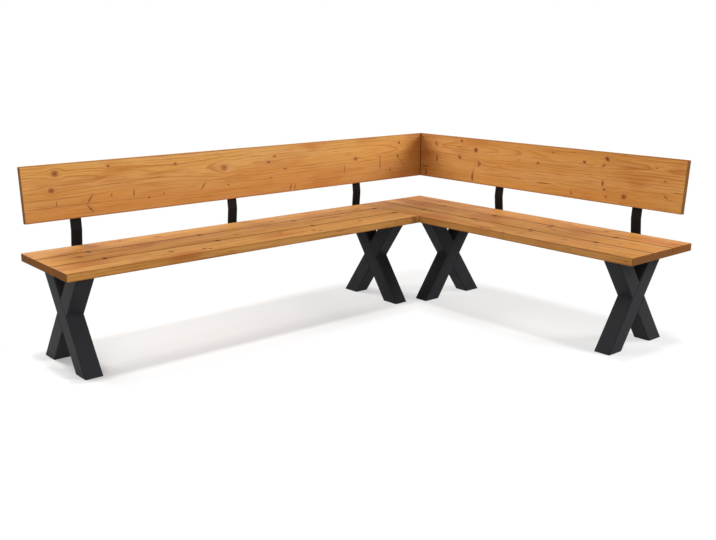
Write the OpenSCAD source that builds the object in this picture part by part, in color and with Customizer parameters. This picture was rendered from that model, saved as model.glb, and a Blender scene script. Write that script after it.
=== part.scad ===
// Corner bench: a long and a short plank seat that meet in a corner, each with a leaning
// back board on cranked flat brackets, standing on four welded X frames of square tube.
// +Z is up, the long bench runs along X with its back at +Y, and the short bench runs along Y
// with its back at +X. The origin is on the floor, under the middle of the whole bench.

/* [Benches] */
// Length of the long bench, from its free end to the outer corner of the seats
long_side = 2400; // [1700:10:3200]
// Length of the short bench, from its free end to the outer corner of the seats
short_side = 1730; // [1400:10:2600]
// Height of the top of the seats above the floor
seat_h = 460; // [420:5:520]

/* [Seat planks] */
// Width of one plank
plank_w = 156; // [145:1:175]
// Thickness of a plank
plank_t = 35; // [28:1:45]
// Open joint between two planks
plank_gap = 3; // [0.5:0.5:6]
// Radius of the eased edges of a plank
plank_edge_r = 3; // [1:0.5:8]
// Open joint where the planks of the long seat butt against the short seat
seam_gap = 0.6; // [0.2:0.1:3]
// Diameter of the drain holes on the joints between the planks
drain_d = 11; // [6:0.5:16]
// Number of drain holes on each joint of a seat
drain_count = 4; // [2:1:6]
// Distance of the first drain holes from the free end of the long seat
long_drain_end = 235; // [150:5:400]
// Distance of the last drain holes of the long seat from the seam
long_drain_seam = 35; // [20:5:200]
// Distance of the first drain holes from the free end of the short seat
short_drain_end = 286; // [150:2:400]
// Distance of the last drain holes of the short seat from the outer corner
short_drain_corner = 346; // [60:2:400]

/* [Back boards] */
// Width of a back board, measured up its face
back_w = 248; // [180:1:320]
// Thickness of a back board
back_t = 28; // [22:1:36]
// Lean of the back boards away from upright, in degrees
back_lean = 6.8; // [2:0.2:15]
// Free height between the seat and the lower edge of a back board
back_rise = 121; // [100:1:200]
// Distance of a board's lower front edge behind the rear edge of the seat
back_set = 0; // [0:1:20]
// Radius of the eased edges of a back board
back_edge_r = 4; // [1:0.5:8]
// Distance from the free end of the long seat to the end of its back board
long_back_inset = 30; // [0:1:80]
// Distance from the free end of the short seat to the end of its back board
short_back_inset = 63; // [0:1:80]
// Open joint between the two mitred ends of the back boards
mitre_gap = 0.6; // [0.2:0.1:3]

/* [X frames] */
// Outer width of the square tube
tube_w = 80; // [60:1:100]
// Wall of the square tube
tube_wall = 3; // [2:0.5:5]
// Outer radius of the tube's corners
tube_r = 6; // [5.5:0.5:10]
// Distance of the crossing of the legs below the top plate
cross_drop = 191; // [170:1:210]
// Distance of the feet behind the front edge of the seat, and before its rear edge
foot_inset = 30; // [20:1:50]
// Thickness of the plates that close the feet
foot_plate_t = 3; // [2:0.5:6]
// Thickness of the top plate under the planks
top_plate_t = 6; // [4:0.5:10]
// Distance of the top plate's ends from the edges of the seat
top_plate_inset = 26; // [26:1:30]
// Distance of the outer screws from the ends of the top plate
plate_screw_in = 20; // [16:1:22]
// Distance of the screws from the long edges of the top plate
plate_screw_side = 16; // [12:1:20]
// Radius of the top plate's corners
top_plate_r = 8; // [2:1:12]
// Middle of the outer frame of the long bench, from the free end of the bench
long_end_frame = 105; // [60:1:180]
// Middle of the inner frame of the long bench, from the seam of the two seats
long_corner_frame = 93; // [90:1:200]
// Middle of the outer frame of the short bench, from the free end of the bench
short_end_frame = 141; // [60:1:200]
// Middle of the inner frame of the short bench, behind the front edge of the long seat
short_corner_frame = 11; // [-15:1:40]

/* [Back brackets] */
// Width of the flat bar
bar_w = 50; // [42:1:60]
// Thickness of the flat bar
bar_t = 8; // [5:0.5:10]
// Inner radius of the bends in the bar
bend_r = 9; // [6:0.5:16]
// Forward lean of the bar between the seat and its upper bend, in degrees
bar_lean = 5; // [0:0.5:8]
// Height of the upper bend above the seat
bend_rise = 66; // [50:1:80]
// Distance of the bar's upper end below the top edge of the back board
bar_end_drop = 24; // [10:1:60]
// Distance of the bar's front end behind the front edge of the seat
bar_foot_inset = 34; // [20:1:40]
// Middle of the outer bracket of the long bench, from the free end of the bench
long_end_bracket = 267; // [240:1:400]
// Reach of the corner bracket's foot under the short seat, past the seam
corner_bracket_over = 24; // [20:1:24]
// Middle of the inner bracket of the short bench, from the front edge of the long seat
short_inner_bracket = 107; // [100:1:200]
// Middle of the outer bracket of the short bench, from the free end of the bench
short_end_bracket = 304; // [280:1:400]
// Distance of each seat screw from the middle line of a bracket
bar_screw_side = 13; // [11:1:14]
// Distance of the seat screws from the middle of a plank, along the bracket
bar_screw_along = 32; // [20:1:36]

/* [Screws] */
// Diameter of a seat or back screw
screw_d = 6; // [4:0.5:8]
// Diameter of its button head
screw_head_d = 12; // [10:0.5:14]
// Height of its button head
screw_head_h = 3.4; // [2:0.2:5]
// Depth of the seat screws in the planks
seat_bite = 24; // [15:1:26]
// Depth of the back screws in the boards
back_bite = 18; // [10:1:20]
// Number of back screws in each bracket
back_screw_count = 3; // [2:1:4]
// Distance of the lowest back screw from the lower edge of the board
back_screw_low = 32; // [20:1:50]
// Distance of the highest back screw from the upper end of the bar
back_screw_high = 26; // [16:1:40]
// Clearance round a screw in the wood and in the steel
screw_play = 0.2; // [0.1:0.05:0.5]
// Width across the corners of the hexagon socket in a screw's head
socket_d = 4.6; // [3:0.2:5]

/* [Corner angle of the backs] */
// Length of each leaf of the angle
angle_leaf = 62; // [50:1:90]
// Height of the angle, measured up the boards
angle_h = 150; // [80:1:160]
// Thickness of the angle
angle_t = 3; // [2:0.5:5]
// Distance of the angle's screws from its upper and lower ends
angle_screw_in = 22; // [12:1:30]
// Distance of the inner screws from the corner of the angle
angle_screw_near = 20; // [16:1:24]
// Distance of the outer screws from the free edges of the leaves
angle_screw_far = 16; // [12:1:20]
// Diameter of the angle's screws
angle_screw_d = 4; // [3:0.5:5]
// Diameter of the button heads of the angle's screws
angle_head_d = 8; // [7:0.5:10]
// Height of the button heads of the angle's screws
angle_head_h = 2.4; // [1.6:0.2:3]
// Depth of the angle's screws in the boards
angle_bite = 14; // [8:1:16]
// Width across the corners of the hexagon socket in an angle screw's head
angle_socket_d = 3; // [2:0.2:3.4]

/* [Hidden] */
$fn = 48;

// Sizes that only cut: longer than the bench, and a little past a face
FAR = 8000;
SKIN = 1;
// Flat steps round each bend of a bar
BEND_STEPS = 12;

WOOD = "#c8935a";
WOOD_BACK = "#c68a48";
STEEL = "#262424";
FASTENER = "#4a4848";

// Seat: three planks from front to rear, and the levels under them
ROWS = ["front", "middle", "rear"];
row_pitch = plank_w + plank_gap;
seat_d = len(ROWS) * row_pitch - plank_gap;
under = seat_h - plank_t;
plate_under = under - top_plate_t;
cross_h = plate_under - cross_drop;
function row_front(i) = -seat_d + i * row_pitch;
function row_middle(i) = row_front(i) + plank_w / 2;

// Drain holes of a bench as [x, y]: evenly spaced on the middle line of each joint
function drains(first, last) = [for (i = [0 : drain_count - 1], row = [1 : len(ROWS) - 1])
    [first + (last - first) * i / (drain_count - 1), row_front(row) - plank_gap / 2]];
LONG_DRAINS = drains(-long_side + long_drain_end, -seat_d - long_drain_seam);
SHORT_DRAINS = drains(-short_side + short_drain_end, -short_drain_corner);

// Legs: the feet stand at the two ends of foot_span and the legs cross at cross_h
foot_span = seat_d - 2 * foot_inset;
leg_reach = sqrt(pow(foot_span, 2) + pow(2 * cross_h, 2));
leg_lean = acos(tube_w / leg_reach) - atan2(2 * cross_h, foot_span);
plate_len = seat_d - 2 * top_plate_inset;

// Lower rear edge of a back board: depth behind the seat's rear edge, and height
board_y = back_set + back_t * cos(back_lean);
board_z = seat_h + back_rise - back_t * sin(back_lean);

// Side view of a bracket: the heel under the seat's rear edge, and the bend below the board
bend_z = seat_h + bend_rise;
bend_y = board_y - (board_z - bend_z) * tan(back_lean);
heel_y = bend_y + (bend_z - under) * tan(bar_lean);
heel_turn = 90 + bar_lean;
arm_angle = 90 - back_lean;
heel_tangent = bend_r * tan(heel_turn / 2);
bend_tangent = (bend_r + bar_t) * tan((heel_turn - arm_angle) / 2);
foot_y = -seat_d + bar_foot_inset;
bearing_len = back_w - bar_end_drop;

// Centres of the two bends, and the upper end of the bar's front face
HEEL = [heel_y - heel_tangent, under + bend_r];
BEND = [bend_y + bend_tangent * cos(arm_angle), bend_z + bend_tangent * sin(arm_angle)]
    + (bend_r + bar_t) * [cos(arm_angle - 90), sin(arm_angle - 90)];
ARM_END = [board_y + bearing_len * sin(back_lean), board_z + bearing_len * cos(back_lean)];

// Heights of the back screws up the board
screw_rise_step = (bearing_len - back_screw_low - back_screw_high) / (back_screw_count - 1);
SCREW_RISES = [for (i = [0 : back_screw_count - 1]) back_screw_low + i * screw_rise_step];

// How far the bench reaches behind the outer corner of the seats
board_reach = board_y + back_w * sin(back_lean);
bar_reach = board_y + bar_t * cos(back_lean) + bearing_len * sin(back_lean);
head_reach = board_y + (bar_t + screw_head_h) * cos(back_lean)
    + (SCREW_RISES[back_screw_count - 1] + screw_head_d / 2) * sin(back_lean);
heel_reach = heel_y - heel_tangent + bend_r + bar_t;
rear_reach = max(board_reach, bar_reach, head_reach, heel_reach);

// Frames and brackets as [name, bench, distance from the outer corner], bench 1 the short one
FRAMES = [
    ["long_end", 0, long_side - long_end_frame],
    ["long_corner", 0, seat_d + long_corner_frame],
    ["short_corner", 1, seat_d - short_corner_frame],
    ["short_end", 1, short_side - short_end_frame],
];
long_end_bar = long_side - long_end_bracket;
corner_bar = seat_d + bar_w / 2 - corner_bracket_over;
BRACKETS = [
    ["long_end", 0, long_end_bar],
    ["long_middle", 0, (long_end_bar + corner_bar) / 2],
    ["corner", 0, corner_bar],
    ["short_inner", 1, seat_d + short_inner_bracket],
    ["short_end", 1, short_side - short_end_bracket],
];

// Seat screws as [x, y, thickness of the steel under the plank]
plate_screw_x = tube_w / 2 - plate_screw_side;
plate_screw_y = plate_len / 2 - plate_screw_in;
function frame_screws(p) = [for (y = [-plate_screw_y, 0, plate_screw_y], side = [-1, 1])
    [-p + side * plate_screw_x, -seat_d / 2 + y, top_plate_t]];
function bracket_screws(p) = [for (i = [0 : len(ROWS) - 1], side = [-1, 1])
    [-p + side * bar_screw_side, row_middle(i) + side * bar_screw_along, bar_t]];
function on_bench(which, list) = which == 0 ? list : [for (s = list) [s[1], s[0], s[2]]];
SEAT_SCREWS = concat(
    [for (f = FRAMES, s = on_bench(f[1], frame_screws(f[2]))) s],
    [for (b = BRACKETS, s = on_bench(b[1], bracket_screws(b[2]))) s]);

// Corner angle: its lower end, the free edge of a leaf, and its screws as [x, rise] on a board
angle_low = (back_w - angle_h) / 2;
function corner_x(rise) = board_y + rise * sin(back_lean);
angle_free = corner_x(back_w / 2) - angle_leaf;
ANGLE_SCREWS = [for (rise = [angle_low + angle_screw_in, angle_low + angle_h - angle_screw_in],
    x = [corner_x(rise) - angle_screw_near, angle_free + angle_screw_far]) [x, rise]];

FRAME_PARTS = ["through_leg", "upper_leg", "lower_leg", "top_plate", "foot_plates"];

// Moves a piece from the outer corner of the seats to the middle of the whole bench
module at_corner() {
    translate([(long_side - rear_reach) / 2, (short_side - rear_reach) / 2, 0]) children();
}

// Turns a piece of the long bench into the same piece of the short one
module bench(which) {
    if (which == 0) children();
    else mirror([1, -1, 0]) children();
}

// On a back board: X along it, Y up it, Z out of its front face, from its lower rear edge
module on_board() {
    translate([0, board_y, board_z]) rotate([90 - back_lean, 0, 0]) children();
}

// Rectangle with round corners about the origin
module rounded_rect(w, h, r) {
    square([w - 2 * r, h], center = true);
    square([w, h - 2 * r], center = true);
    for (x = [-1, 1], y = [-1, 1]) translate([x * (w / 2 - r), y * (h / 2 - r)]) circle(r);
}

// Board along X from x0 to x1 with all its edges eased, its width along Y
module board(x0, x1, w, t, r) {
    middle = (x0 + x1) / 2;
    intersection() {
        translate([x0, 0, 0]) rotate([90, 0, 90]) linear_extrude(x1 - x0) rounded_rect(w, t, r);
        translate([middle, 0, -t / 2]) linear_extrude(t) rounded_rect(x1 - x0, w, r);
        translate([middle, w / 2, 0]) rotate([90, 0, 0]) linear_extrude(w) rounded_rect(x1 - x0, t, r);
    }
}

// Button-head screw: the head hangs below the origin, the shank points up with a cone at its tip
module screw(d, head_d, head_h, length, socket) {
    difference() {
        union() {
            cylinder(h = length - d / 2, d = d);
            translate([0, 0, length - d / 2]) cylinder(h = d / 2, d1 = d, d2 = d / 4);
            intersection() {
                translate([0, 0, -head_h]) cylinder(h = head_h, d = head_d);
                translate([0, 0, head_d / 2 - head_h]) sphere(d = head_d * sqrt(1.25));
            }
        }
        translate([0, 0, -head_h - SKIN]) cylinder(h = head_h / 2 + SKIN, d = socket, $fn = 6);
    }
}

// Hole for a screw that goes up from a face by depth, opened a little below the face
module screw_hole(d, depth) {
    translate([0, 0, -SKIN]) cylinder(h = depth + SKIN, d = d + 2 * screw_play);
}

// Holes of the seat screws that come up inside the plank x0..x1, y0..y1
module plank_holes(x0, x1, y0, y1) {
    for (s = SEAT_SCREWS) if (s[0] > x0 && s[0] < x1 && s[1] > y0 && s[1] < y1)
        translate([s[0], s[1], under]) screw_hole(screw_d, seat_bite + screw_play);
}

// Drain holes through the edges of a plank of the long bench
module drain_holes(places) {
    for (d = places) translate([d[0], d[1], under - SKIN]) cylinder(h = plank_t + 2 * SKIN, d = drain_d);
}

// Plank of the long seat: it is cut square where it butts against the side of the short seat
module long_seat_plank(i) {
    color(WOOD) at_corner() difference() {
        translate([0, row_middle(i), under + plank_t / 2])
            board(-long_side, 0, plank_w, plank_t, plank_edge_r);
        translate([-seat_d - seam_gap, -FAR / 2, 0]) cube(FAR);
        plank_holes(-long_side, -seat_d, row_front(i), row_front(i) + plank_w);
        drain_holes(LONG_DRAINS);
    }
}

// Plank of the short seat: it runs through the corner to the rear edge of the long seat
module short_seat_plank(i) {
    color(WOOD) at_corner() difference() {
        bench(1) translate([0, row_middle(i), under + plank_t / 2])
            board(-short_side, 0, plank_w, plank_t, plank_edge_r);
        plank_holes(row_front(i), row_front(i) + plank_w, -short_side, 0);
        bench(1) drain_holes(SHORT_DRAINS);
    }
}

// Everything past the mitre of the corner, with half the open joint
module past_mitre(gap) {
    rotate([0, 0, 45]) translate([-FAR / 2, gap / 2 - FAR, -FAR / 2]) cube(FAR);
}

// Back board from its free end to the mitre, with the holes of its screws in its rear face
module back_board(which, length) {
    color(WOOD_BACK) at_corner() bench(which) difference() {
        on_board() translate([0, back_w / 2, back_t / 2])
            board(-length, rear_reach + SKIN, back_w, back_t, back_edge_r);
        past_mitre(mitre_gap);
        on_board() {
            for (b = BRACKETS, rise = SCREW_RISES) if (b[1] == which)
                translate([-b[2], rise, 0]) screw_hole(screw_d, back_bite + screw_play);
            for (s = ANGLE_SCREWS)
                translate([s[0], s[1], 0]) screw_hole(angle_screw_d, angle_bite + screw_play);
        }
    }
}

// Points of an arc about a centre, from one angle to another
function arc(centre, r, from, to) = [for (i = [0 : BEND_STEPS])
    let (a = from + (to - from) * i / BEND_STEPS) centre + r * [cos(a), sin(a)]];

// Side view of a bracket as [y, z]: along its inner faces to the upper end, and back behind
module bracket_side() {
    polygon(concat(
        [[foot_y, under]],
        arc(HEEL, bend_r, -90, heel_turn - 90),
        arc(BEND, bend_r + bar_t, heel_turn + 90, arm_angle + 90),
        [ARM_END, ARM_END + bar_t * [cos(arm_angle - 90), sin(arm_angle - 90)]],
        arc(BEND, bend_r, arm_angle + 90, heel_turn + 90),
        arc(HEEL, bend_r + bar_t, heel_turn - 90, -90),
        [[foot_y, under - bar_t]]));
}

// Bracket of the long bench at x = -p: a foot under the planks, a heel behind the seat,
// and an upright that bends back to lie on the rear face of the board
module bracket(which, p) {
    color(STEEL) at_corner() bench(which) difference() {
        translate([-p - bar_w / 2, 0, 0]) rotate([90, 0, 90]) linear_extrude(bar_w) bracket_side();
        for (s = bracket_screws(p))
            translate([s[0], s[1], plate_level(bar_t)]) screw_hole(screw_d, bar_t + SKIN);
        on_board() for (rise = SCREW_RISES)
            translate([-p, rise, -bar_t]) screw_hole(screw_d, bar_t + SKIN);
    }
}

// Level of the lower face of a plate of thickness t under the planks
function plate_level(t) = under - t;

// Places an X frame of the long bench at x = -p, on the floor under the middle of the seat
module at_frame(f) {
    at_corner() bench(f[1]) translate([-f[2], -seat_d / 2, 0]) children();
}

// Slice of the space between two levels
module between(z0, z1) {
    translate([-FAR / 2, -FAR / 2, z0]) cube([FAR, FAR, z1 - z0]);
}

// Along a leg: side 1 goes up to the rear, side -1 goes up to the front
module along_leg(side) {
    translate([0, 0, cross_h]) rotate([-side * leg_lean, 0, 0]) children();
}

// Whole length of a leg, as a solid or as a tube
module leg(side, hollow) {
    along_leg(side) linear_extrude(4 * cross_h, center = true) difference() {
        rounded_rect(tube_w, tube_w, tube_r);
        if (hollow) rounded_rect(tube_w - 2 * tube_wall, tube_w - 2 * tube_wall, tube_r - tube_wall);
    }
}

// Leg in one length from the front foot to the rear of the top plate
module through_leg(f) {
    color(STEEL) at_frame(f) intersection() {
        leg(1, true);
        between(foot_plate_t, plate_under);
    }
}

// Half leg that butts against the through leg: side 1 behind and below it, side -1 above it
module half_leg(f, side) {
    color(STEEL) at_frame(f) intersection() {
        leg(-1, true);
        between(foot_plate_t, plate_under);
        along_leg(1) translate([-FAR / 2, side > 0 ? tube_w / 2 : -tube_w / 2 - FAR, -FAR / 2])
            cube(FAR);
    }
}

// Plate on top of the legs, with the holes of its seat screws
module top_plate(f) {
    color(STEEL) at_frame(f) difference() {
        translate([0, 0, plate_under]) linear_extrude(top_plate_t)
            rounded_rect(tube_w, plate_len, top_plate_r);
        for (s = frame_screws(0)) translate([s[0], s[1] + seat_d / 2, plate_under])
            screw_hole(screw_d, top_plate_t + SKIN);
    }
}

// The two plates that close the tubes at the floor
module foot_plates(f) {
    color(STEEL) at_frame(f) for (side = [-1, 1]) intersection() {
        leg(side, false);
        between(0, foot_plate_t);
    }
}

// Screws through the top plates and the feet of the brackets into the planks
module seat_screws() {
    color(FASTENER) at_corner() for (s = SEAT_SCREWS) translate([s[0], s[1], plate_level(s[2])])
        screw(screw_d, screw_head_d, screw_head_h, s[2] + seat_bite, socket_d);
}

// Screws through the brackets into the back boards
module back_screws() {
    color(FASTENER) at_corner() for (b = BRACKETS, rise = SCREW_RISES)
        bench(b[1]) on_board() translate([-b[2], rise, -bar_t])
            screw(screw_d, screw_head_d, screw_head_h, bar_t + back_bite, socket_d);
}

// Angle behind the corner of the back boards, mitred on the line where their rear faces meet
module back_corner_angle() {
    color(STEEL) at_corner() for (which = [0, 1]) bench(which) difference() {
        on_board() translate([angle_free, angle_low, -angle_t])
            cube([FAR / 2, angle_h, angle_t]);
        past_mitre(0);
        on_board() for (s = ANGLE_SCREWS)
            translate([s[0], s[1], -angle_t]) screw_hole(angle_screw_d, angle_t + SKIN);
    }
}

// Screws of the corner angle
module angle_screws() {
    color(FASTENER) at_corner() for (which = [0, 1], s = ANGLE_SCREWS)
        bench(which) on_board() translate([s[0], s[1], -angle_t])
            screw(angle_screw_d, angle_head_d, angle_head_h, angle_t + angle_bite, angle_socket_d);
}

for (i = [0 : len(ROWS) - 1]) {
    long_seat_plank(i);
    short_seat_plank(i);
}
back_board(0, long_side - long_back_inset);  // long_back_board
back_board(1, short_side - short_back_inset);  // short_back_board
for (b = BRACKETS) bracket(b[1], b[2]);
for (f = FRAMES) {
    through_leg(f);
    half_leg(f, -1);
    half_leg(f, 1);
    top_plate(f);
    foot_plates(f);
}
seat_screws();
back_screws();
back_corner_angle();
angle_screws();
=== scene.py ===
# Looks of the corner bench: oiled softwood planks and boards on black powder-coated steel.
# All lengths are in metres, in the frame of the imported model.
import functools
import math

import bpy
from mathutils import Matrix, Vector


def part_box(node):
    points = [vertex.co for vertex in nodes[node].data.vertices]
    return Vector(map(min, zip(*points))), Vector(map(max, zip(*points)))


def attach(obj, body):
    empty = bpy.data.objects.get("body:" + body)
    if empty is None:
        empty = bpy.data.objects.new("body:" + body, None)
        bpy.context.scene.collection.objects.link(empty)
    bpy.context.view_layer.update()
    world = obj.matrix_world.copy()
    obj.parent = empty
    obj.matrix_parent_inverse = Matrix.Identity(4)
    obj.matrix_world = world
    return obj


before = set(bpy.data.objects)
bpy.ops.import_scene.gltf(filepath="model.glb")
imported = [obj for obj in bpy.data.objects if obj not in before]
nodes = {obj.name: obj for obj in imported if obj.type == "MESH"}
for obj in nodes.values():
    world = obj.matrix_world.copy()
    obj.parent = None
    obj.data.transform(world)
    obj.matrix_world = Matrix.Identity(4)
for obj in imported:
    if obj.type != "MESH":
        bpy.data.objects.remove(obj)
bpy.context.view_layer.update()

WHITE = (1, 1, 1, 1)

# Lean of the back boards, and the height of their lower front edges above the seat
BACK_LEAN = math.radians(6.8)
BACK_RISE = 0.121


def srgb(code):
    """Linear colour of a hexadecimal one."""
    parts = [int(code[i:i + 2], 16) / 255 for i in (1, 3, 5)]
    linear = [c / 12.92 if c <= 0.04045 else ((c + 0.055) / 1.055) ** 2.4 for c in parts]
    return (*linear, 1.0)


class Wire:
    """A socket in a node tree; arithmetic on it adds Math nodes."""

    def __init__(self, paint, socket):
        self.paint = paint
        self.socket = socket

    def math(self, operation, *values):
        return self.paint.node("ShaderNodeMath", {"operation": operation}, dict(enumerate(values)))

    def __add__(self, other):
        return self.math("ADD", self, other)

    def __radd__(self, other):
        return self.math("ADD", other, self)

    def __sub__(self, other):
        return self.math("SUBTRACT", self, other)

    def __rsub__(self, other):
        return self.math("SUBTRACT", other, self)

    def __mul__(self, other):
        return self.math("MULTIPLY", self, other)

    def __rmul__(self, other):
        return self.math("MULTIPLY", other, self)

    def __truediv__(self, other):
        return self.math("DIVIDE", self, other)

    def __rtruediv__(self, other):
        return self.math("DIVIDE", other, self)

    def __pow__(self, other):
        return self.math("POWER", self, other)

    def __rpow__(self, other):
        return self.math("POWER", other, self)

    def least(self, other):
        return self.math("MINIMUM", self, other)

    def most(self, other):
        return self.math("MAXIMUM", self, other)

    def size(self):
        return self.math("ABSOLUTE", self)

    def floor(self):
        return self.math("FLOOR", self)

    def fraction(self):
        return self.math("FRACT", self)


class Paint:
    """The node tree of one finish, on a material or on the world."""

    def __init__(self, owner, shader="Principled BSDF"):
        owner.use_nodes = True
        self.owner = owner
        self.tree = owner.node_tree
        self.shader = self.tree.nodes[shader]

    def feed(self, socket, value):
        """Links a wire to a socket, or writes a constant on it."""
        if isinstance(value, Wire):
            self.tree.links.new(value.socket, socket)
        else:
            socket.default_value = value

    def node(self, kind, settings, inputs, output=0):
        """Adds a node: its settings first, then the values or wires of its sockets."""
        made = self.tree.nodes.new(kind)
        for name, value in settings.items():
            setattr(made, name, value)
        for key, value in inputs.items():
            self.feed(made.inputs[key], value)
        return Wire(self, made.outputs[output])

    def finish(self, **sockets):
        """Feeds the shader's own sockets, named with underscores for their spaces."""
        for name, value in sockets.items():
            self.feed(self.shader.inputs[name.replace("_", " ")], value)
        return self.owner

    def place(self):
        """The point on the object, in the frame of the model."""
        return self.node("ShaderNodeTexCoord", {}, {}, "Object")

    def seen(self):
        """1 for what the camera sees, also in gloss or through glass, and 0 for all other light."""
        rays = [self.node("ShaderNodeLightPath", {}, {}, f"Is {kind} Ray")
                for kind in ("Camera", "Glossy", "Transmission")]
        return functools.reduce(Wire.most, rays)

    def vector(self, x, y, z):
        return self.node("ShaderNodeCombineXYZ", {}, {0: x, 1: y, 2: z})

    def dot(self, a, b):
        return self.node("ShaderNodeVectorMath", {"operation": "DOT_PRODUCT"}, {0: a, 1: b}, "Value")

    def length(self, vector):
        return self.node("ShaderNodeVectorMath", {"operation": "LENGTH"}, {0: vector}, "Value")

    def scaled(self, vector, factor):
        settings = {"operation": "SCALE"}
        return self.node("ShaderNodeVectorMath", settings, {0: vector, "Scale": factor})

    def moved(self, vector, step):
        return self.node("ShaderNodeVectorMath", {"operation": "ADD"}, {0: vector, 1: step})

    def noise(self, vector, detail=2.0, roughness=0.5, output="Fac"):
        """Noise about 0.5 with a grain of one unit of the vector."""
        inputs = {"Vector": vector, "Scale": 1.0, "Detail": detail, "Roughness": roughness}
        return self.node("ShaderNodeTexNoise", {}, inputs, output)

    def ramp(self, value, low, high, start=0.0, end=1.0):
        """Smooth step of a value from start to end, as it goes from low to high."""
        inputs = {"Value": value, "From Min": low, "From Max": high, "To Min": start, "To Max": end}
        return self.node("ShaderNodeMapRange", {"interpolation_type": "SMOOTHSTEP"}, inputs)

    def mix(self, factor, a, b, blend="MIX"):
        settings = {"data_type": "RGBA", "blend_type": blend}
        return self.node("ShaderNodeMix", settings, {0: factor, 6: a, 7: b}, 2)

    def bump(self, height, distance):
        inputs = {"Height": height, "Distance": distance, "Strength": 1.0}
        return self.node("ShaderNodeBump", {}, inputs)


# Boards of the bench

class Board:
    """Where the grain of a board runs: from its free end along, across its face and through it."""

    def __init__(self, node, start, along, across, through, length, width, depth):
        self.node = node
        self.start = Vector(start)
        self.along = Vector(along)
        self.across = Vector(across)
        self.through = Vector(through)
        self.length = length
        self.width = width
        self.depth = depth


def seat_plank(bench, row):
    """A plank: across runs from its front edge, through runs from its underside."""
    node = f"{bench}_seat_plank_{row}"
    low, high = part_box(node)
    size = high - low
    if bench == "long":
        return Board(node, low, (1, 0, 0), (0, 1, 0), (0, 0, 1), size.x, size.y, size.z)
    return Board(node, low, (0, 1, 0), (1, 0, 0), (0, 0, 1), size.y, size.x, size.z)


def back_board(bench):
    """A back board: across runs up its face, through runs from its face to the rear."""
    node = f"{bench}_back_board"
    low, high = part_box(node)
    size = high - low
    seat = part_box(f"{bench}_seat_plank_rear")[1]
    sine, cosine = math.sin(BACK_LEAN), math.cos(BACK_LEAN)
    rise = seat.z + BACK_RISE
    width = (high.z - rise) / cosine
    if bench == "long":
        start = (low.x, seat.y, rise)
        depth = (size.y - width * sine) / cosine
        return Board(node, start, (1, 0, 0), (0, sine, cosine), (0, cosine, -sine), size.x, width, depth)
    start = (seat.x, low.y, rise)
    depth = (size.x - width * sine) / cosine
    return Board(node, start, (0, 1, 0), (sine, 0, cosine), (cosine, 0, -sine), size.y, width, depth)


# Softwood

HONEY = srgb("#E0A858")
STRAW = srgb("#E4B168")
LATEWOOD = srgb("#A8662B")
RUSSET = srgb("#BC7033")
HALO = srgb("#CE8F50")
KNOT = srgb("#A8693D")
KNOT_CORE = srgb("#5A2F1C")
# Tone of the painted shade towards the mitre of the backs
OILED_AND_SHADED_EDGE = srgb("#94602F")
MITRE_SHADE_TONE = srgb("#95531F")
# Brown of the cracks, also used for the painted shade along the joints and the mitre
CRACK_AND_SHADE = srgb("#452613")
# Brown of the painted shade about the drain holes
HOLE_SHADE = srgb("#2E160A")

# Mean thickness of a year's growth, and how far the rings stray along a board, slowly and quickly
RING = 0.0052
RING_WANDER = 0.07
RING_WAVER = 0.0046
# At this many times its radius, a knot's push on the grain has fallen to the share below
KNOT_REACH = 2.2
KNOT_FALL = 0.37
# Square of the place of a knot's outline, in units of its reach
KNOT_EDGE = 1 / KNOT_REACH ** 2
# How uneven the outlines of knots and stains are
RUFFLE = 0.010
# Softness of the outlines, from 0, sharp, to 1, faded from the middle on
KNOT_SOFT = 0.55
CRACK_SOFT = 0.8
HOLE_SHADE_SOFT = 0.6
# Marks go right through a board
MARK_DEPTH = 100
# Depth to which the sawn ends and edges take up more oil
OIL_DEPTH = 0.0008
# Where the painted shade starts and where it is full: at an arris, along a joint, at the mitre, and how
# far the wider shade towards the mitre reaches
ARRIS_SHADE = (0.008, 0.0015)
JOINT_SHADE = (0.0038, 0.0008)
MITRE_SHADE_LINE = (0.0045, 0.0012)
MITRE_SHADE_REACH = (0.2, 0.0)
# The painted shade of a joint is fainter at a board's ends, up to this far in
JOINT_SHADE_FADE = 0.03
GRAIN_HEIGHT = 0.00025


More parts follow.
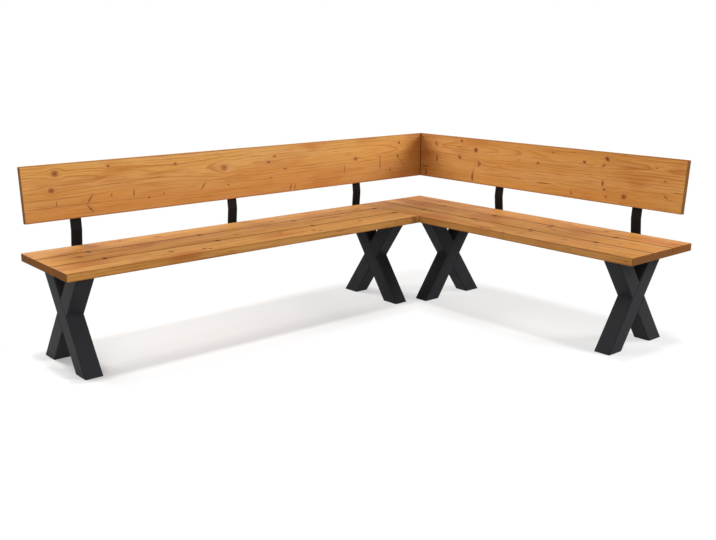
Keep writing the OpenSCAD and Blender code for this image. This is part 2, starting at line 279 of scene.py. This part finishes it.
class Timber(Paint):
    """Oiled softwood on one board, by a point's place along, across and through it."""

    def __init__(self, board, seed):
        super().__init__(bpy.data.materials.new(f"wood_{board.node}"))
        self.board = board
        self.spot = self.place()
        self.along = self.dot(self.spot, board.along) - board.start.dot(board.along)
        self.across = self.dot(self.spot, board.across) - board.start.dot(board.across)
        self.through = self.dot(self.spot, board.through) - board.start.dot(board.through)
        self.point = self.vector(self.along, self.across, self.through)
        self.shifted = self.along + seed
        ruffle = self.noise(self.scaled(self.point, 75.0), 3.0, 0.6, "Color")
        stray = self.scaled(self.moved(ruffle, (-0.5, -0.5, -0.5)), RUFFLE)
        self.uneven = self.moved(self.point, stray)

    def drawn(self, side, run, fineness, detail=2.0, roughness=0.5):
        """Noise drawn out along the board, by its grains in a metre along it and across it."""
        place = self.vector(self.shifted * run, side * fineness, self.through * fineness)
        return self.noise(place, detail, roughness)

    def marks(self, place, spots, reach, soft):
        """Oval marks as (along, across, radius, stretch, turn, darkness).

        Gives how dark the darkest one is, and for each its reach, the offset from its middle
        in units of that, and the square of the offset."""
        edge = 1 / reach ** 2
        offsets, bodies = [], []
        for along, across, radius, stretch, turn, darkness in spots:
            half = radius * reach
            inputs = {
                "Vector": place,
                "Location": (along, across, 0),
                "Rotation": (0, 0, math.radians(turn)),
                "Scale": (half * stretch, half, MARK_DEPTH),
            }
            offset = self.node("ShaderNodeMapping", {"vector_type": "TEXTURE"}, inputs)
            square = self.dot(offset, offset)
            bodies.append(self.ramp(square, edge * (1 + soft), edge * (1 - soft), 0, darkness))
            offsets.append((half, offset, square))
        return functools.reduce(Wire.most, bodies), offsets

    def grow(self, knots, pith):
        """Knots that push the grain aside, rings about a pith that wanders, and fibres."""
        self.dark, offsets = self.marks(self.uneven, knots, KNOT_REACH, KNOT_SOFT)
        self.near = functools.reduce(Wire.least, [square for half, offset, square in offsets])
        self.grain = self.across + sum(KNOT_FALL ** square * self.dot(offset, (0, -half, 0))
                                       for half, offset, square in offsets)
        wander = self.drawn(self.grain, 0.9, 3.0, 1.0) - 0.5
        waver = self.drawn(self.grain, 6.0, 26.0) - 0.5
        radius = self.length(self.vector(0.0, self.grain - pith[0], self.through - pith[1]))
        rings = (radius + wander * RING_WANDER + waver * RING_WAVER) / RING
        phase = rings.fraction()
        year = {"W": rings.floor()}
        vigour = self.node("ShaderNodeTexWhiteNoise", {"noise_dimensions": "1D"}, year, "Value")
        self.late = phase ** 3.0 * self.ramp(phase, 1.0, 0.86) * (vigour ** 2.0 * 1.1 + 0.2)
        self.fibre = self.drawn(self.grain, 8.0, 600.0, 3.0, 0.6)

    def clear_wood(self, blush, grain_width):
        """Broad changes of tone, late wood, and thin dark streaks, dashes and fibres."""
        tint = self.drawn(self.grain, 1.3, 16.0)
        cloud = self.drawn(self.across, 3.0, 9.0)
        streaks = self.drawn(self.grain, 2.4, 130.0 / grain_width, 3.0, 0.65)
        dashes = self.drawn(self.grain, 11.0, 190.0 / grain_width)
        colour = self.mix(self.ramp(tint, 0.35, 0.65), HONEY, STRAW)
        if blush:
            colour = self.mix(self.ramp(self.across, self.board.width, 0.0, 0, blush), colour, RUSSET)
        clouded = self.ramp(cloud, 0.48, 0.75, 0, 0.3 + 0.2 * grain_width)
        colour = self.mix(clouded, colour, RUSSET)
        colour = self.mix(self.late, colour, LATEWOOD)
        streaked = self.ramp(streaks, 0.5, 0.74, 0, 0.65 + 0.1 * grain_width)
        colour = self.mix(streaked, colour, LATEWOOD)
        dashed = self.ramp(dashes, 0.58, 0.76, 0, 0.45 + 0.15 * grain_width)
        colour = self.mix(dashed, colour, LATEWOOD)
        return self.mix(self.ramp(self.fibre, 0.42, 0.8, 0, 0.4), colour, RUSSET)

    def knotted(self, colour):
        """Knots with a halo, an uneven core and a broken dark rim."""
        tail = self.drawn(self.across, 30.0, 240.0)
        halo = self.ramp(self.near, 1.3, KNOT_EDGE) * self.ramp(tail, 0.35, 0.7)
        colour = self.mix(halo, colour, HALO)
        colour = self.mix(self.dark, colour, KNOT)
        blotch = self.ramp(self.noise(self.scaled(self.point, 190.0)), 0.36, 0.6)
        core = self.ramp(self.near, KNOT_EDGE * 0.45, 0.0, 0.0, 0.5)
        rim = self.ramp(self.near, KNOT_EDGE * 0.45, KNOT_EDGE * 0.85)
        rim = rim * self.ramp(self.near, KNOT_EDGE * 1.35, KNOT_EDGE * 0.95)
        return self.mix((core + (core + rim) * blotch) * self.dark, colour, KNOT_CORE)

    def oiled(self, colour):
        """Edges take up more oil, and the arrises are darker with painted shade."""
        side = self.across.least(self.board.width - self.across)
        face = self.through.least(self.board.depth - self.through)
        edge = self.ramp(side, OIL_DEPTH * 1.5, OIL_DEPTH * 0.5, 0, 0.06)
        # Painted shade on the rounded arrises
        edge = edge.most(self.ramp(side + face, *ARRIS_SHADE, 0, 0.6))
        return self.mix(edge, colour, OILED_AND_SHADED_EDGE)

    def jointed(self, colour, joints, mitre):
        """Painted shade along the joints between the planks and along the mitre of the backs, and wider
        towards the mitre.
        """
        patchy = self.noise(self.vector(self.shifted * 9.0, self.across * 4.0, 0.0))
        inner = self.along.least(self.board.length - self.along)
        kept = self.ramp(inner, 0.0, JOINT_SHADE_FADE, 0.1, 0.75) * (patchy + 0.2)
        for joint in joints:
            gap = self.across if joint == 0 else self.board.width - self.across
            # Painted shade in the groove between two planks, patchy along it
            colour = self.mix(self.ramp(gap, *JOINT_SHADE) * kept, colour, CRACK_AND_SHADE)
        if mitre is not None:
            crossing = self.dot(self.spot, (1, -1, 0)) - (mitre.x - mitre.y)
            # A wide painted shade darkens both backs towards the mitre, where one board shades the other
            colour = self.mix(self.ramp(crossing.size(), *MITRE_SHADE_REACH, 0, 0.55), colour, MITRE_SHADE_TONE)
            # A narrow painted shade along the mitre line
            colour = self.mix(self.ramp(crossing.size(), *MITRE_SHADE_LINE, 0, 0.85), colour, CRACK_AND_SHADE)
        return colour


def softwood(board, seed, pith, knots, tone, end_tone, cracks=(), hole_shades=(), blush=0.0, joints=(),
             mitre=None, grain_width=1.0):
    """Oiled softwood: growth rings about a pith, fibres, knots, cracks and end grain.

    pith is the place of the log's heart, across and through. blush is how red the front or
    lower side is. joints are the sides of a plank, 0 its front and 1 its rear, that face
    another plank. mitre is the corner that a back board is mitred to. grain_width widens the
    streaks and deepens them."""
    wood = Timber(board, seed)
    wood.grow(knots, pith)
    height = wood.late * 0.35 + wood.fibre * 0.65
    colour = wood.knotted(wood.clear_wood(blush, grain_width))
    if cracks:
        split, _ = wood.marks(wood.point, cracks, 1.0, CRACK_SOFT)
        colour = wood.mix(split, colour, CRACK_AND_SHADE)
        height = height - split * 2.0
    # Painted shade about the drain holes
    if hole_shades:
        hole_dark, _ = wood.marks(wood.uneven, hole_shades, 1.0, HOLE_SHADE_SOFT)
        colour = wood.mix(hole_dark, colour, HOLE_SHADE)
    colour = wood.jointed(wood.oiled(colour), joints, mitre)

    # End grain
    last = (OIL_DEPTH - wood.along).most(wood.along - (board.length - OIL_DEPTH))
    end = wood.ramp(last, -OIL_DEPTH / 2, OIL_DEPTH / 4)
    colour = wood.mix(end * 0.85, colour, end_tone)
    colour = wood.mix(end * wood.late * 0.5, colour, KNOT_CORE)
    colour = wood.mix(1.0, colour, tone, "MULTIPLY")
    roughness = 0.46 + wood.fibre * 0.16 + end * 0.25
    return wood.finish(Base_Color=colour, Roughness=roughness, Normal=wood.bump(height, GRAIN_HEIGHT),
                       Specular_IOR_Level=0.08)


# Marks as (along, across, radius, stretch, turn, darkness)
LONG_BACK_KNOTS = [
    (0.152, 0.206, 0.013, 1.2, 0, 0.8),
    (0.128, 0.133, 0.011, 1.2, 0, 0.8),
    (0.404, 0.218, 0.006, 1.5, 0, 0.8),
    (0.747, 0.200, 0.006, 1.3, 0, 0.8),
    (1.018, 0.160, 0.015, 1.3, 0, 0.6),
    (0.302, 0.079, 0.0045, 5.0, 48, 0.8),
    (0.300, 0.034, 0.0045, 5.0, -52, 0.8),
    (0.145, 0.071, 0.003, 4.5, 88, 0.7),
    (0.406, 0.087, 0.005, 1.6, 80, 0.6),
    (0.518, 0.084, 0.004, 5.0, 84, 0.7),
    (0.594, 0.056, 0.005, 1.8, 20, 0.6),
    (0.671, 0.065, 0.005, 1.6, 60, 0.5),
    (0.890, 0.080, 0.0045, 5.0, 52, 0.7),
    (1.330, 0.193, 0.006, 2.0, 10, 0.7),
    (1.289, 0.165, 0.005, 2.2, 0, 1.0),
    (1.390, 0.123, 0.0035, 4.0, 0, 0.9),
    (1.295, 0.085, 0.004, 1.6, 0, 0.8),
    (1.034, 0.072, 0.004, 1.4, 0, 0.7),
    (1.416, 0.024, 0.005, 4.0, 70, 0.8),
    (1.445, 0.022, 0.004, 4.0, 75, 0.7),
    (1.792, 0.085, 0.004, 6.0, 86, 0.6),
    (1.879, 0.135, 0.010, 1.3, 0, 0.75),
    (2.057, 0.096, 0.0045, 7.0, 88, 0.7),
    (2.061, 0.134, 0.005, 1.5, 0, 0.7),
    (2.131, 0.052, 0.004, 3.5, 80, 0.7),
    (2.217, 0.203, 0.008, 1.2, 0, 1.0),
    (2.199, 0.127, 0.007, 1.3, 0, 1.0),
]
LONG_BACK_CRACKS = [
    (0.180, 0.064, 0.0013, 130, -1.5, 0.45),
    (0.600, 0.055, 0.0012, 140, -1.0, 0.4),
    (2.225, 0.095, 0.0015, 24, -50, 0.7),
]
SHORT_BACK_KNOTS = [
    (1.368, 0.226, 0.007, 1.3, 0, 0.9),
    (1.256, 0.184, 0.012, 1.15, 0, 1.0),
    (1.371, 0.134, 0.008, 1.6, 20, 0.9),
    (1.262, 0.037, 0.006, 4.0, 86, 0.9),
    (1.223, 0.112, 0.010, 1.3, 50, 0.7),
    (1.545, 0.112, 0.005, 4.0, 88, 0.9),
    (1.560, 0.196, 0.006, 2.4, 60, 0.8),
    (1.622, 0.024, 0.006, 3.0, 80, 0.9),
    (0.544, 0.187, 0.007, 1.3, 0, 0.95),
    (0.416, 0.214, 0.010, 1.4, 30, 0.95),
    (0.432, 0.180, 0.006, 2.0, -40, 0.6),
    (0.826, 0.154, 0.005, 1.4, 0, 0.8),
    (0.740, 0.218, 0.004, 1.4, 0, 0.8),
    (0.301, 0.043, 0.012, 1.2, 0, 0.75),
    (0.399, 0.031, 0.007, 1.2, 0, 0.5),
    (0.426, 0.094, 0.005, 3.2, 86, 0.8),
    (0.413, 0.066, 0.006, 1.4, 0, 0.9),
    (0.601, 0.026, 0.004, 3.0, 60, 0.7),
    (0.098, 0.139, 0.005, 1.5, 0, 0.7),
    (0.085, 0.068, 0.004, 3.0, 40, 0.7),
    (0.150, 0.196, 0.004, 1.4, 0, 0.7),
]
SHORT_BACK_CRACKS = [
    (0.024, 0.092, 0.0013, 20, 1.0, 0.95),
    (0.775, 0.055, 0.0022, 22, -2.0, 0.85),
    (0.560, 0.062, 0.0012, 110, 1.5, 0.55),
    (0.690, 0.150, 0.0012, 100, -2.0, 0.4),
    (1.630, 0.060, 0.0026, 13, 0.0, 0.95),
    (1.260, 0.062, 0.0018, 20, -70, 0.6),
]
SEAT_KNOTS = {
    "long_front": [
        (0.513, 0.091, 0.010, 1.2, 0, 1.0),
        (0.655, 0.054, 0.009, 1.2, 0, 1.0),
        (0.677, 0.036, 0.008, 1.2, 0, 0.9),
        (1.102, 0.101, 0.009, 1.1, 0, 1.0),
        (1.276, 0.065, 0.010, 1.2, 0, 1.0),
        (1.295, 0.039, 0.008, 1.2, 0, 1.0),
        (0.409, 0.098, 0.005, 1.2, 0, 0.8),
        (0.984, 0.090, 0.005, 1.2, 0, 0.8),
        (1.600, 0.100, 0.009, 1.3, 0, 0.8),
        (1.889, 0.004, 0.010, 1.4, 0, 0.6),
    ],
    "long_middle": [
        (0.165, 0.091, 0.011, 1.4, 0, 0.8),
        (0.530, 0.142, 0.007, 1.6, 0, 0.9),
        (0.462, 0.138, 0.006, 1.6, 0, 0.9),
        (0.930, 0.060, 0.009, 1.6, 0, 0.7),
        (1.130, 0.100, 0.008, 1.5, 0, 0.7),
        (1.560, 0.100, 0.010, 1.5, 0, 0.6),
    ],
    "long_rear": [
        (0.441, 0.118, 0.008, 1.2, 0, 0.9),
        (0.620, 0.090, 0.012, 1.4, 0, 0.6),
        (1.240, 0.050, 0.009, 1.7, 0, 0.6),
        (0.300, 0.070, 0.007, 1.5, 0, 0.7),
        (1.700, 0.070, 0.010, 1.5, 0, 0.6),
    ],
    "short_front": [
        (0.849, 0.023, 0.010, 1.2, 0, 1.0),
        (0.818, 0.039, 0.008, 1.2, 0, 0.9),
        (0.968, 0.125, 0.008, 1.2, 0, 0.9),
        (0.701, 0.009, 0.008, 1.2, 0, 0.8),
        (0.632, 0.053, 0.009, 1.2, 0, 0.8),
        (0.630, 0.121, 0.008, 1.2, 0, 0.9),
        (0.414, 0.100, 0.009, 1.2, 0, 0.7),
        (0.250, 0.110, 0.007, 1.5, 0, 0.6),
    ],
    "short_middle": [
        (0.637, 0.118, 0.010, 1.2, 0, 0.9),
        (0.584, 0.082, 0.008, 1.2, 0, 0.9),
        (0.987, 0.128, 0.009, 1.2, 0, 0.9),
        (1.250, 0.080, 0.010, 1.4, 0, 0.6),
        (0.200, 0.060, 0.008, 1.6, 0, 0.6),
    ],
    "short_rear": [
        (0.396, 0.083, 0.009, 1.2, 0, 0.8),
        (0.480, 0.060, 0.010, 1.6, 0, 0.6),
        (1.120, 0.110, 0.009, 1.4, 0, 0.6),
        (0.850, 0.040, 0.007, 1.5, 0, 0.6),
        (1.500, 0.080, 0.009, 1.5, 0, 0.6),
    ],
}
# Place of the log's heart for each plank, across and through, and its tone
SEAT_LOGS = {
    "long_front": ((0.060, -0.070), (0.73, 0.65, 0.58, 1)),
    "long_middle": ((0.110, -0.050), (0.76, 0.68, 0.60, 1)),
    "long_rear": ((0.050, -0.090), (0.71, 0.63, 0.58, 1)),
    "short_front": ((0.100, -0.060), (0.68, 0.60, 0.58, 1)),
    "short_middle": ((0.040, -0.080), (0.70, 0.61, 0.57, 1)),
    "short_rear": ((0.090, -0.050), (0.76, 0.65, 0.58, 1)),
}
# Each plank starts this much further along its log than the one before, so that no two are alike
SEAT_SHIFT = 3.7
# Width of the planks' streaks, where those of the backs are 1
SEAT_GRAIN = 2.0
SEAT_END = srgb("#84562B")
BACK_END = srgb("#6E4A2A")
BACK_LOGS = {
    "long": {
        "seed": 31.3,
        "pith": (0.165, 0.072),
        "knots": LONG_BACK_KNOTS,
        "cracks": LONG_BACK_CRACKS,
        "tone": (0.97, 0.95, 0.97, 1),
        "blush": 0.5,
    },
    "short": {
        "seed": 47.9,
        "pith": (0.190, 0.068),
        "knots": SHORT_BACK_KNOTS,
        "cracks": SHORT_BACK_CRACKS,
        # The short board's darker tone is painted shade, for the lesser light that falls on its face
        "tone": (0.86, 0.77, 0.73, 1),
    },
}
# Drain holes along each joint of a bench
DRAINS = {"long": (0.235, 0.787, 1.339, 1.891), "short": (0.286, 0.652, 1.018, 1.384)}
# Painted shade of a hole on the wood about it, and a fainter one beside it, as (shift, radius, stretch,
# turn, darkness)
DRAIN_SHADES = [(0.0, 0.014, 0.8, 0, 0.95), (0.018, 0.006, 1.8, 0, 0.3)]
ROW_JOINTS = {"front": (1,), "middle": (0, 1), "rear": (0,)}


# Outer rear corner of the seats, over which the faces of the back boards meet
CORNER = Vector((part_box("short_seat_plank_rear")[1].x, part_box("long_seat_plank_rear")[1].y, 0))


def coat(node, material):
    """Puts a finish on a node of the frame."""
    for slot in nodes[node].material_slots:
        slot.material = material


def coat_wood():
    """Gives each plank and board the wood of its own log."""
    for number, (name, knots) in enumerate(SEAT_KNOTS.items()):
        bench, row = name.split("_")
        board = seat_plank(bench, row)
        pith, tone = SEAT_LOGS[name]
        hole_shades = [(hole + shift, side * board.width, *shape)
                  for side in ROW_JOINTS[row]
                  for hole in DRAINS[bench]
                  for shift, *shape in DRAIN_SHADES]
        wood = softwood(board, SEAT_SHIFT * number, pith, knots, tone, SEAT_END, hole_shades=hole_shades,
                        joints=ROW_JOINTS[row], grain_width=SEAT_GRAIN)
        coat(board.node, wood)
    for bench, log in BACK_LOGS.items():
        board = back_board(bench)
        coat(board.node, softwood(board, end_tone=BACK_END, mitre=CORNER, **log))


# Steel

# Height of the powder coat's orange peel
PEEL_HEIGHT = 0.00012


def powder_coat(name, dark, pale):
    """Satin black powder coat with its fine orange peel."""
    paint = Paint(bpy.data.materials.new(name))
    spot = paint.place()
    peel = paint.noise(paint.scaled(spot, 420.0))
    mottle = paint.noise(paint.scaled(spot, 9.0))
    colour = paint.mix(mottle, srgb(dark), srgb(pale))
    roughness = 0.40 + mottle * 0.08
    return paint.finish(Base_Color=colour, Roughness=roughness, Normal=paint.bump(peel, PEEL_HEIGHT),
                        Specular_IOR_Level=0.05)


def black_screw():
    """Black oxide on a steel screw, rubbed brighter here and there."""
    paint = Paint(bpy.data.materials.new("screw_black"))
    rub = paint.noise(paint.scaled(paint.place(), 300.0))
    colour = paint.mix(paint.ramp(rub, 0.55, 0.75), srgb("#2A2826"), srgb("#5A5550"))
    return paint.finish(Base_Color=colour, Roughness=0.32 + rub * 0.2, Metallic=0.85)


FRAME_BLACK = powder_coat("frame_black", "#29292B", "#303033")
BAR_BLACK = powder_coat("bar_black", "#181617", "#1F1D1E")


def coat_steel():
    """Black screws, and powder coat on the frames and, a darker one, on the bars."""
    screws = black_screw()
    for node in nodes:
        if node.endswith("screws"):
            coat(node, screws)
        elif "bracket" in node or "angle" in node:
            coat(node, BAR_BLACK)
        elif "plank" not in node and "board" not in node:
            coat(node, FRAME_BLACK)


# Weld beads of the frames

# Height at which the legs cross, and the width of their tube
CROSS_HEIGHT = 0.228
TUBE = 0.08
# A bead is a row of ripples, each a sphere squashed along the row
BEAD_RADIUS = 0.0042
BEAD_SQUASH = 0.62
BEAD_PITCH = 0.0024
BEAD_LENGTH = 0.070


def ripple_row():
    """A weld bead along X about the origin, one ripple over the next."""
    count = int(BEAD_LENGTH / BEAD_PITCH)
    bpy.ops.object.select_all(action="DESELECT")
    bpy.ops.mesh.primitive_uv_sphere_add(segments=12, ring_count=8, radius=BEAD_RADIUS)
    row = bpy.context.active_object
    bpy.ops.transform.resize(value=(BEAD_SQUASH, 1, 1))
    bpy.ops.object.transform_apply(scale=True)
    ripples = row.modifiers.new("ripples", "ARRAY")
    ripples.use_relative_offset = False
    ripples.use_constant_offset = True
    ripples.constant_offset_displace = (BEAD_PITCH, 0, 0)
    ripples.count = count
    bpy.ops.object.modifier_apply(modifier="ripples")
    bpy.ops.transform.translate(value=((1 - count) * BEAD_PITCH / 2, 0, 0))
    bpy.ops.object.transform_apply(location=True)
    bpy.ops.object.shade_smooth()
    return row


def seams(span, plate):
    """Where a frame is welded, as (place from the middle of its feet, height)."""
    # Lean of a tube that stands at the outer edge of a foot and passes through the crossing
    lean = math.acos(TUBE / math.hypot(span, 2 * CROSS_HEIGHT)) - math.atan2(2 * CROSS_HEIGHT, span)
    wide = TUBE / 2 / math.cos(lean)
    tall = TUBE / 2 / math.sin(lean)
    top = (plate - CROSS_HEIGHT) * math.tan(lean)
    crossing = [(wide, CROSS_HEIGHT), (-wide, CROSS_HEIGHT),
                (0.0, CROSS_HEIGHT + tall), (0.0, CROSS_HEIGHT - tall)]
    return crossing + [(leg * top + edge * wide, plate) for leg in (1, -1) for edge in (1, -1)]


def weld_frame(name, row):
    """Beads where the half legs butt against the through leg, and under the top plate."""
    low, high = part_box(f"{name}_foot_plates")
    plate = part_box(f"{name}_top_plate")[0].z
    middle = (low + high) / 2
    size = high - low
    beads = []
    for place, height in seams(max(size.x, size.y), plate):
        bead = row.copy()
        bead.data = row.data.copy()
        bpy.context.scene.collection.objects.link(bead)
        if size.x > size.y:
            bead.rotation_euler.z = math.pi / 2
            bead.location = (middle.x + place, middle.y, height)
        else:
            bead.location = (middle.x, middle.y + place, height)
        beads.append(bead)
    bpy.ops.object.select_all(action="DESELECT")
    for bead in beads:
        bead.select_set(True)
    bpy.context.view_layer.objects.active = beads[0]
    bpy.ops.object.join()
    bpy.ops.object.transform_apply(location=True, rotation=True)
    welds = bpy.context.active_object
    welds.name = welds.data.name = f"{name}_welds"
    welds.data.materials.append(FRAME_BLACK)
    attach(welds, "root")


def weld_frames():
    """Welds every frame with copies of one bead."""
    row = ripple_row()
    for node in nodes:
        if node.endswith("_through_leg"):
            weld_frame(node.removesuffix("_through_leg"), row)
    bpy.data.objects.remove(row)


# Joint of the two backs

# How far the dark sheet in the mitre stays back from the boards' surfaces
SHEET_INSET = 0.0012
SHEET_THICKNESS = 0.00058


def mitre_shade_finish():
    """Uneven dark brown, standing in for the shade deep in the mitre."""
    paint = Paint(bpy.data.materials.new("mitre_shade_finish"))
    speckle = paint.noise(paint.scaled(paint.place(), 240.0))
    colour = paint.mix(speckle, srgb("#2C190D"), srgb("#46290F"))
    return paint.finish(Base_Color=colour, Roughness=0.6 + speckle * 0.2, Specular_IOR_Level=0.0)


def mitre_shade_sheet(corner):
    """A dark sheet in the mitre of the back boards, from their faces to their rear, standing in for the
    shade in the gap.
    """
    board = back_board("long")
    base = corner.copy()
    base.z = board.start.z
    # The mitre runs as far along the bench as it runs through it
    outline = []
    for up, back in ((0, 0), (0, 1), (1, 1), (1, 0)):
        rise = SHEET_INSET + up * (board.width - 2 * SHEET_INSET)
        depth = SHEET_INSET + back * (board.depth - 2 * SHEET_INSET)
        place = board.across * rise + board.through * depth
        outline.append(base + Vector((place.y, place.y, place.z)))
    bpy.ops.object.select_all(action="DESELECT")
    bpy.ops.mesh.primitive_plane_add(size=1)
    sheet = bpy.context.active_object
    sheet.name = sheet.data.name = "mitre_dark_sheet"
    for number, place in zip(list(sheet.data.polygons[0].vertices), outline):
        start = sheet.data.vertices[number].co.copy()
        bpy.ops.object.mode_set(mode="EDIT")
        bpy.ops.mesh.select_mode(type="VERT")
        bpy.ops.mesh.select_all(action="DESELECT")
        bpy.ops.object.mode_set(mode="OBJECT")
        sheet.data.vertices[number].select = True
        bpy.ops.object.mode_set(mode="EDIT")
        bpy.ops.transform.translate(value=place - start)
        bpy.ops.object.mode_set(mode="OBJECT")
    side = Vector((1, -1, 0)).normalized() * SHEET_THICKNESS
    bpy.ops.object.mode_set(mode="EDIT")
    bpy.ops.mesh.select_all(action="SELECT")
    bpy.ops.transform.translate(value=-side / 2)
    bpy.ops.mesh.extrude_region_move(TRANSFORM_OT_translate={"value": side})
    bpy.ops.mesh.select_all(action="SELECT")
    bpy.ops.mesh.normals_make_consistent(inside=False)
    bpy.ops.object.mode_set(mode="OBJECT")
    sheet.data.materials.append(mitre_shade_finish())
    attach(sheet, "root")


# Studio

FLOOR_SIZE = 80.0
# The floor's tone for the camera, and its darker one for the light that it gives back
FLOOR_SHOWN = (0.93, 0.93, 0.93, 1)
FLOOR_LIT = (0.42, 0.42, 0.42, 1)
# The floor keeps the bench's shadow up to the first distance past the seats, and is white
# from the second
SHADOW_KEPT = 0.02
SHADOW_GONE = 0.16
# White in the shadow: from one place along X to another it grows from one share to another
SHADOW_WHITE = (-0.4, 0.95, 0.1, 0.6)
# The world's strength for all that the camera doesn't see
WORLD_FILL = 0.32


def past_seat(paint, spot, bench):
    """Distance of a point of the floor from the outline of a bench's seat."""
    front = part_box(f"{bench}_seat_plank_front")
    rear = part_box(f"{bench}_seat_plank_rear")
    low = Vector(map(min, front[0], rear[0]))
    high = Vector(map(max, front[1], rear[1]))
    middle, half = (low + high) / 2, (high - low) / 2
    steps = []
    for axis, direction in enumerate(((1, 0, 0), (0, 1, 0))):
        offset = paint.dot(spot, direction) - middle[axis]
        steps.append((offset.size() - half[axis]).most(0.0))
    return paint.length(paint.vector(*steps, 0.0))


def studio_floor():
    """A white floor that keeps a pale shadow of the bench, and gives back less light than it shows."""
    bpy.ops.object.select_all(action="DESELECT")
    bpy.ops.mesh.primitive_plane_add(size=FLOOR_SIZE, location=(0, 0, 0))
    floor = bpy.context.active_object
    floor.name = "studio_floor"
    paint = Paint(bpy.data.materials.new("studio_floor"))
    seen = paint.seen()
    colour = paint.mix(seen, FLOOR_LIT, FLOOR_SHOWN)
    paint.finish(Base_Color=colour, Roughness=0.9, Specular_IOR_Level=0.0)
    spot = paint.place()
    past = past_seat(paint, spot, "long").least(past_seat(paint, spot, "short"))
    least_white = paint.ramp(paint.dot(spot, (1, 0, 0)), *SHADOW_WHITE)
    share = least_white + paint.ramp(past, SHADOW_KEPT, SHADOW_GONE) * (1.0 - least_white)
    white = paint.node("ShaderNodeEmission", {}, {"Color": WHITE, "Strength": 1.0})
    surface = Wire(paint, paint.shader.outputs[0])
    mixed = paint.node("ShaderNodeMixShader", {}, {0: seen * share, 1: surface, 2: white})
    paint.feed(paint.tree.nodes["Material Output"].inputs["Surface"], mixed)
    floor.data.materials.append(paint.owner)


def studio_world():
    """White for the camera and for gloss, a softer fill for everything else."""
    world = bpy.data.worlds.new("studio")
    bpy.context.scene.world = world
    paint = Paint(world, "Background")
    paint.finish(Color=WHITE, Strength=WORLD_FILL + paint.seen() * (1.0 - WORLD_FILL))


def lamp(kind, name, place, target, energy, **settings):
    """A lamp at a place, turned to a target."""
    light = bpy.data.lights.new(name, kind)
    light.energy = energy
    for key, value in settings.items():
        setattr(light, key, value)
    holder = bpy.data.objects.new(name, light)
    holder.location = place
    holder.rotation_euler = (Vector(target) - Vector(place)).to_track_quat("-Z", "Y").to_euler()
    bpy.context.scene.collection.objects.link(holder)


# Camera, from the photograph: where it stands, which way it looks, and its lens and film in mm
CAMERA_PLACE = (-2.6013, -2.9344, 1.3282)
CAMERA_YAW = math.radians(39.78)
CAMERA_PITCH = math.radians(-11.48)
CAMERA_LENS = 45.45
CAMERA_FILM = 36.0
CAMERA_SHIFT = (0.0279, -0.0559)


def camera():
    """A camera at the photograph's place, turned from +Y towards +X."""
    lens = bpy.data.cameras.new("camera")
    lens.sensor_width = CAMERA_FILM
    lens.lens = CAMERA_LENS
    lens.shift_x, lens.shift_y = CAMERA_SHIFT
    holder = bpy.data.objects.new("camera", lens)
    holder.location = CAMERA_PLACE
    holder.rotation_euler = (math.pi / 2 + CAMERA_PITCH, 0, -CAMERA_YAW)
    bpy.context.scene.collection.objects.link(holder)
    bpy.context.scene.camera = holder


coat_wood()
coat_steel()
weld_frames()
mitre_shade_sheet(CORNER)
studio_floor()
studio_world()
lamp("SUN", "overhead", (0, 0, 4), (0, 0, 0), 1.2, angle=math.radians(8))
lamp("AREA", "rear_left", (-1.6, 3.92, 3.1), (0.8, 0.1, 0.4), 160, shape="SQUARE", size=2.0)
lamp("AREA", "front_right", (4.4, -4.0, 3.0), (-0.2, 0.8, 0.6), 230, shape="SQUARE", size=1.9)
lamp("AREA", "front_left", (-4.2, -3.2, 2.2), (0.2, 0.3, 0.6), 95, shape="SQUARE", size=2.6)
camera()
bpy.context.scene.view_settings.view_transform = "Standard"
